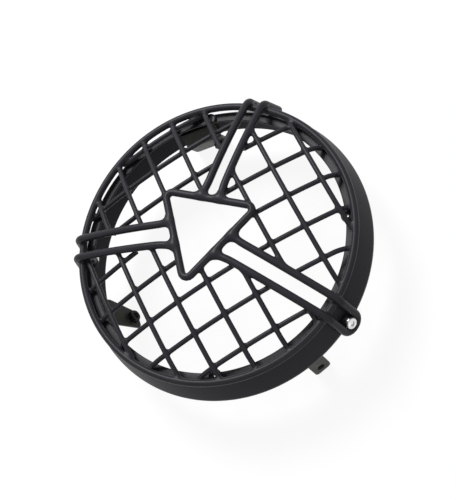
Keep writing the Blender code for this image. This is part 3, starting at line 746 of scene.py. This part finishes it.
def add_band(coat):
    outside = rounded(BAND_CORNERS, (SHOULDER_BEND, RIDGE_BEND))
    inside = rounded(shifted(BAND_CORNERS, SHEET), (SHOULDER_INNER_BEND, RIDGE_BEND - SHEET))
    outline = outside[1:-1] + lip(outside[-1], inside[-1], outside[-2])
    outline += inside[1:-1][::-1] + lip(inside[0], outside[0], inside[1])
    sheet = lathe("band_rolled", outline)
    stretch_flange(sheet)
    band = add_piece("band_rolled", sheet, coat, ("band",))
    half = DRAIN_LENGTH / 2 - DRAIN_WIDTH / 2
    loops = []
    for reach in DRAIN_REACH:
        loop = []
        for step in range(32):
            angle = 2 * math.pi * (step + 0.5) / 32
            side = math.copysign(half, math.cos(angle)) + DRAIN_WIDTH / 2 * math.cos(angle)
            loop.append((reach, side, -DRAIN_DEPTH + DRAIN_WIDTH / 2 * math.sin(angle)))
        loops.append(loop)
    slot = skin("drain", loops, False)
    slot.transform(Matrix.Rotation(DRAIN_ANGLE, 4, "Z"))
    cut(band, slot)
    for _, degrees in EYELETS:
        hole = skin("eyelet_hole", [ring(EYELET_HOLE / 2, -SHOULDER_DEPTH - 3 * SHEET, steps=32),
                                    ring(EYELET_HOLE / 2, SHEET - SHOULDER_DEPTH, steps=32)], False)
        hole.transform(Matrix.Translation(eyelet_spot(degrees)))
        cut(band, hole)


def lip(start, end, before):
    """A rounded sheet edge from one skin to the other."""
    start, end, before = Vector(start), Vector(end), Vector(before)
    across = (end - start).normalized()
    along = (before - start).normalized()
    thick = (end - start).length
    points = []
    for step in range(5):
        angle = math.pi / 2 * step / 4
        points.append(start + along * EDGE_BEND * (1 - math.sin(angle))
                      + across * EDGE_BEND * (1 - math.cos(angle)))
    for step in range(5):
        angle = math.pi / 2 * step / 4
        points.append(start + along * EDGE_BEND * (1 - math.cos(angle))
                      + across * (thick - EDGE_BEND + EDGE_BEND * math.sin(angle)))
    return [tuple(point) for point in points]


def eyelet_spot(degrees):
    angle = math.radians(degrees)
    return Vector((EYELET_RADIUS * math.cos(angle), EYELET_RADIUS * math.sin(angle), 0.0))


def add_eyelets(coat):
    outer, inner = EYELET / 2, EYELET_HOLE / 2
    base = -SHOULDER_DEPTH - EYELET_SINK
    top = base + EYELET_HEIGHT
    for name, degrees in EYELETS:
        corners = ((inner, base), (inner, top), (outer, top), (outer, base))
        outline = rounded(corners, (EYELET_BEND, EYELET_BEND), 6)
        add_piece(f"{name}_eyelet_ring", lathe(f"{name}_eyelet_ring", outline, 48), coat,
                  (f"{name}_eyelet",), Matrix.Translation(eyelet_spot(degrees)))


def lug_radius(depth):
    """Distance of a screw from the ring axis, on the plane of its hairpin."""
    return FOOT + depth * math.tan(ARM_TILT)


def lug_place(degrees, aside, depth):
    """Place of a screw, with its Z out along the shank."""
    return (Matrix.Rotation(math.radians(degrees), 4, "Z")
            @ Matrix.Translation((lug_radius(depth), aside, -depth))
            @ Matrix.Rotation(math.pi / 2 - ARM_TILT, 4, "Y"))


def nut_seat(depth):
    """Height of a lug nut's face, against the inside of the band at the nut's front corner."""
    (start, top), (end, bottom) = BAND_CORNERS[1], BAND_CORNERS[2]
    slope = (end - start) / (top - bottom)
    lean = slope * math.cos(ARM_TILT) - math.sin(ARM_TILT)
    rise = math.cos(ARM_TILT) + slope * math.sin(ARM_TILT)
    return (wall_radius(depth, SHEET, True) - lug_radius(depth) - NUT / math.sqrt(3) * lean) / rise


def screw_mesh(name, base, tip):
    """Button head with a hexagon socket, and a shank with a chamfered end."""
    crown = base + HEAD_HEIGHT
    loops = [
        ring(SCREW / 2 - SCREW_CHAMFER, tip),
        ring(SCREW / 2, tip + SCREW_CHAMFER),
        ring(SCREW / 2, base),
        ring(HEAD / 2 - 0.25 * MM, base),
        ring(HEAD / 2, base + 0.2 * MM),
        ring(HEAD / 2, base + HEAD_SKIRT),
    ]
    for step in range(1, 7):
        angle = HEAD_ARC * step / 6
        rise = (HEAD_HEIGHT - HEAD_SKIRT) * math.sin(angle) / math.sin(HEAD_ARC)
        loops.append(ring(HEAD / 2 * (HEAD_FLAT + (1 - HEAD_FLAT) * math.cos(angle)),
                          base + HEAD_SKIRT + rise))
    loops += [
        ring(HEX_KEY / 2 + 0.45 * MM, crown),
        ring(HEX_KEY / 2 + 0.05 * MM, crown - 0.25 * MM, flats=True),
        ring(HEX_KEY / 2, crown - 0.45 * MM, flats=True),
        ring(HEX_KEY / 2, crown - HEX_DEPTH, flats=True),
        ring(0.3 * MM, crown - HEX_DEPTH - 0.5 * MM),
    ]
    return skin(name, loops, False, 35.0)


def nut_mesh(name, top, bore):
    """A six-sided nut with its bore's radius given."""
    low_face = top - NUT_HEIGHT
    loops = [
        ring(bore, top - 0.3 * MM),
        ring(bore + NUT_CHAMFER, top),
        ring(NUT / 2 - 0.1 * MM, top),
        ring(NUT / 2, top - NUT_CORNER, flats=True),
        ring(NUT / 2, low_face + NUT_CORNER, flats=True),
        ring(NUT / 2 - 0.1 * MM, low_face),
        ring(bore + NUT_CHAMFER, low_face),
        ring(bore, low_face + 0.3 * MM),
    ]
    return skin(name, loops, True, 30.0)


def add_lugs(coat, zinc):
    for name, degrees, _, aside, _, depth in ARMS:
        seat = nut_seat(depth)
        place = lug_place(degrees, aside[1], depth)
        bore = SCREW / 2 + BORE_CLEAR
        screw = screw_mesh(f"{name}_screw", HEAD_LIFT, seat - NUT_HEIGHT - SCREW_PAST_NUT)
        add_piece(f"{name}_lug_screw_head", screw, zinc, (f"{name}_lug_screw",), place)
        add_piece(f"{name}_lug_nut_inner", nut_mesh(f"{name}_nut", seat, bore),
                  zinc, (f"{name}_lug_nut",), place)
        top = HEAD_LIFT / 2
        foot = seat + SPACER_SHORT
        corners = ((bore, top), (SPACER / 2, top), (SPACER / 2, foot), (bore, foot))
        outline = rounded(corners, (0.4 * MM, 0.2 * MM), 4)
        add_piece(f"{name}_lug_spacer_turned", lathe(f"{name}_spacer", outline, 64), coat,
                  (f"{name}_lug_spacer",), place)


def wall_radius(depth, inset, front):
    """Radius of the band's front or back wall at a depth, moved inwards by inset."""
    start, end = (BAND_CORNERS[1], BAND_CORNERS[2]) if front else (BAND_CORNERS[2], BAND_CORNERS[3])
    slope = (end[0] - start[0]) / (start[1] - end[1])
    return start[0] + slope * (depth + start[1]) - inset * math.hypot(1.0, slope)


def add_brackets(coat, nut_coat):
    back_radius, back_depth = BAND_CORNERS[3][0], -BAND_CORNERS[3][1]
    for name, degrees, end_radius, root_width, end_width, sideways, hole_aside in BRACKETS:
        turn = Matrix.Translation(BACK_ASIDE) @ Matrix.Rotation(math.radians(degrees), 4, "Z")
        sag = end_width ** 2 / (8 * back_radius)
        inset = SHEET + sag + STRIP / 2
        root = (wall_radius(STRIP_ROOT_DEPTH, inset, False), -STRIP_ROOT_DEPTH)
        knee_depth = back_depth + STRIP_BEND_DEPTH
        knee = (wall_radius(knee_depth, inset, False), -knee_depth)
        lean = math.atan2(end_radius - knee[0], RIM_HEIGHT - knee_depth)
        end = (end_radius, -RIM_HEIGHT + STRIP / 2 * abs(math.sin(lean)))
        line = (root, knee, end)
        outer = rounded(shifted(line, -STRIP / 2), (STRIP,), 6)
        inner = rounded(shifted(line, STRIP / 2), (STRIP,), 6)
        bm = bmesh.new()
        sections = []
        for out, back in zip(outer, inner):
            depth = -(out[1] + back[1]) / 2
            share = min(1.0, max(0.0, (depth - back_depth) / (RIM_HEIGHT - back_depth)))
            width = root_width + (end_width - root_width) * share
            shift = sideways * share
            sections.append([bm.verts.new((out[0], shift + width / 2, out[1])),
                             bm.verts.new((out[0], shift - width / 2, out[1])),
                             bm.verts.new((back[0], shift - width / 2, back[1])),
                             bm.verts.new((back[0], shift + width / 2, back[1]))])
        for upper, lower in zip(sections, sections[1:]):
            for step in range(4):
                after = (step + 1) % 4
                bm.faces.new((upper[step], upper[after], lower[after], lower[step]))
        bm.faces.new(sections[0])
        bm.faces.new(sections[-1])
        final = sections[-1]
        ends = [bm.edges.get((final[0], final[3])), bm.edges.get((final[1], final[2]))]
        bmesh.ops.bevel(bm, geom=ends, offset=STRIP_CORNER, segments=10, profile=0.5, affect="EDGES")
        bmesh.ops.recalc_face_normals(bm, faces=bm.faces[:])
        mesh = bpy.data.meshes.new(f"{name}_bracket_strip")
        bm.to_mesh(mesh)
        bm.free()
        piece = add_piece(f"{name}_bracket_strip", mesh, coat, (f"{name}_bracket",), turn)
        along = (Vector(end) - Vector(knee)).normalized()
        spot = Vector(end) - along * STRIP_HOLE_FROM_END
        share = (-spot.y - back_depth) / (RIM_HEIGHT - back_depth)
        out_tilt = math.atan2(along.x, -along.y)
        place = (turn @ Matrix.Translation((spot.x, sideways * share + hole_aside, spot.y))
                 @ Matrix.Rotation(math.pi / 2 - out_tilt, 4, "Y"))
        hole = skin(f"{name}_hole", [ring(STRIP_HOLE / 2, -2 * STRIP), ring(STRIP_HOLE / 2, 2 * STRIP)],
                    False)
        hole.transform(place)
        cut(piece, hole)
        bevel = piece.modifiers.new("edges", "BEVEL")
        bevel.width = STRIP_EDGE
        bevel.segments = 3
        bevel.limit_method = "ANGLE"
        bevel.angle_limit = math.radians(40.0)
        apply_modifiers(piece)
        piece.data.shade_smooth()
        piece.data.set_sharp_from_angle(angle=math.radians(35.0))
        add_piece(f"{name}_bracket_weld_nut", nut_mesh(f"{name}_weld_nut", -STRIP / 2, THREAD / 2),
                  nut_coat, (f"{name}_bracket_nut",), place)


def shown_by_camera(tree):
    """One where a camera, glossy or transmission ray looks, nought elsewhere."""
    path = tree.nodes.new("ShaderNodeLightPath")
    first = tree.nodes.new("ShaderNodeMath")
    first.operation = "MAXIMUM"
    tree.links.new(path.outputs["Is Camera Ray"], first.inputs[0])
    tree.links.new(path.outputs["Is Glossy Ray"], first.inputs[1])
    second = tree.nodes.new("ShaderNodeMath")
    second.operation = "MAXIMUM"
    tree.links.new(first.outputs["Value"], second.inputs[0])
    tree.links.new(path.outputs["Is Transmission Ray"], second.inputs[1])
    return second.outputs["Value"]


def add_world():
    world = bpy.data.worlds.new("studio")
    world.use_nodes = True
    bpy.context.scene.world = world
    tree = world.node_tree
    background = tree.nodes["Background"]
    background.inputs["Color"].default_value = (1.0, 1.0, 1.0, 1.0)
    level = tree.nodes.new("ShaderNodeMapRange")
    level.inputs["To Min"].default_value = AMBIENT
    level.inputs["To Max"].default_value = 1.0
    tree.links.new(shown_by_camera(tree), level.inputs["Value"])
    tree.links.new(level.outputs["Result"], background.inputs["Strength"])


def add_floor():
    ground = (0.0, 0.0, CAD_BOX[0][2] - FLOOR_DROP)
    bpy.ops.mesh.primitive_plane_add(size=FLOOR_SIZE, location=ground)
    floor = bpy.context.object
    floor.name = "floor"
    material = bpy.data.materials.new("pale_floor")
    material.use_nodes = True
    tree = material.node_tree
    tree.nodes.remove(tree.nodes["Principled BSDF"])
    glow = node(tree, "ShaderNodeEmission", Strength=FLOOR_GLOW)
    paint = node(tree, "ShaderNodeBsdfDiffuse", Color=(*[FLOOR_SHADOW] * 3, 1.0))
    shown = tree.nodes.new("ShaderNodeAddShader")
    tree.links.new(glow.outputs["Emission"], shown.inputs[0])
    tree.links.new(paint.outputs["BSDF"], shown.inputs[1])
    plain = node(tree, "ShaderNodeBsdfDiffuse", Color=(*[FLOOR_BOUNCE] * 3, 1.0))
    mix = tree.nodes.new("ShaderNodeMixShader")
    tree.links.new(shown_by_camera(tree), mix.inputs["Fac"])
    tree.links.new(plain.outputs["BSDF"], mix.inputs[1])
    tree.links.new(shown.outputs["Shader"], mix.inputs[2])
    tree.links.new(mix.outputs["Shader"], tree.nodes["Material Output"].inputs["Surface"])
    floor.data.materials.append(material)


def add_lamp(name, place, size, power):
    """A square soft lamp aimed at the grille."""
    light = bpy.data.lights.new(name, "AREA")
    light.shape = "SQUARE"
    light.size = size
    light.energy = power
    lamp = bpy.data.objects.new(name, light)
    bpy.context.collection.objects.link(lamp)
    lamp.location = place
    lamp.rotation_euler = (AXIS - Vector(place)).to_track_quat("-Z", "Y").to_euler()


def add_camera():
    data = bpy.data.cameras.new("photo_view")
    data.sensor_fit = "VERTICAL"
    data.sensor_height = SENSOR_HEIGHT
    data.lens = LENS
    camera = bpy.data.objects.new("photo_view", data)
    bpy.context.collection.objects.link(camera)
    camera.location = AXIS + CAMERA_OFFSET
    camera.rotation_euler = CAMERA_TURN
    bpy.context.scene.camera = camera


coat = powder_coat("satin_black_powder_coat", BLACK_COAT, 0.38, 0.35)
# Painted light: the brackets get a lighter copy of the black coat, standing in for the light on their
# faces
painted_light_bracket_coat = powder_coat("thin_grey_black_coat", BRACKET_COAT, 0.45, 0.35)
zinc = plated_steel("zinc_plated_steel", ZINC_PLATE, 0.30)
add_camera()
add_rods(coat)
add_band(coat)
add_eyelets(coat)
add_lugs(coat, zinc)
add_brackets(painted_light_bracket_coat, coat)
add_world()
add_floor()
for lamp in LAMPS:
    add_lamp(*lamp)
bpy.context.scene.view_settings.view_transform = "Standard"
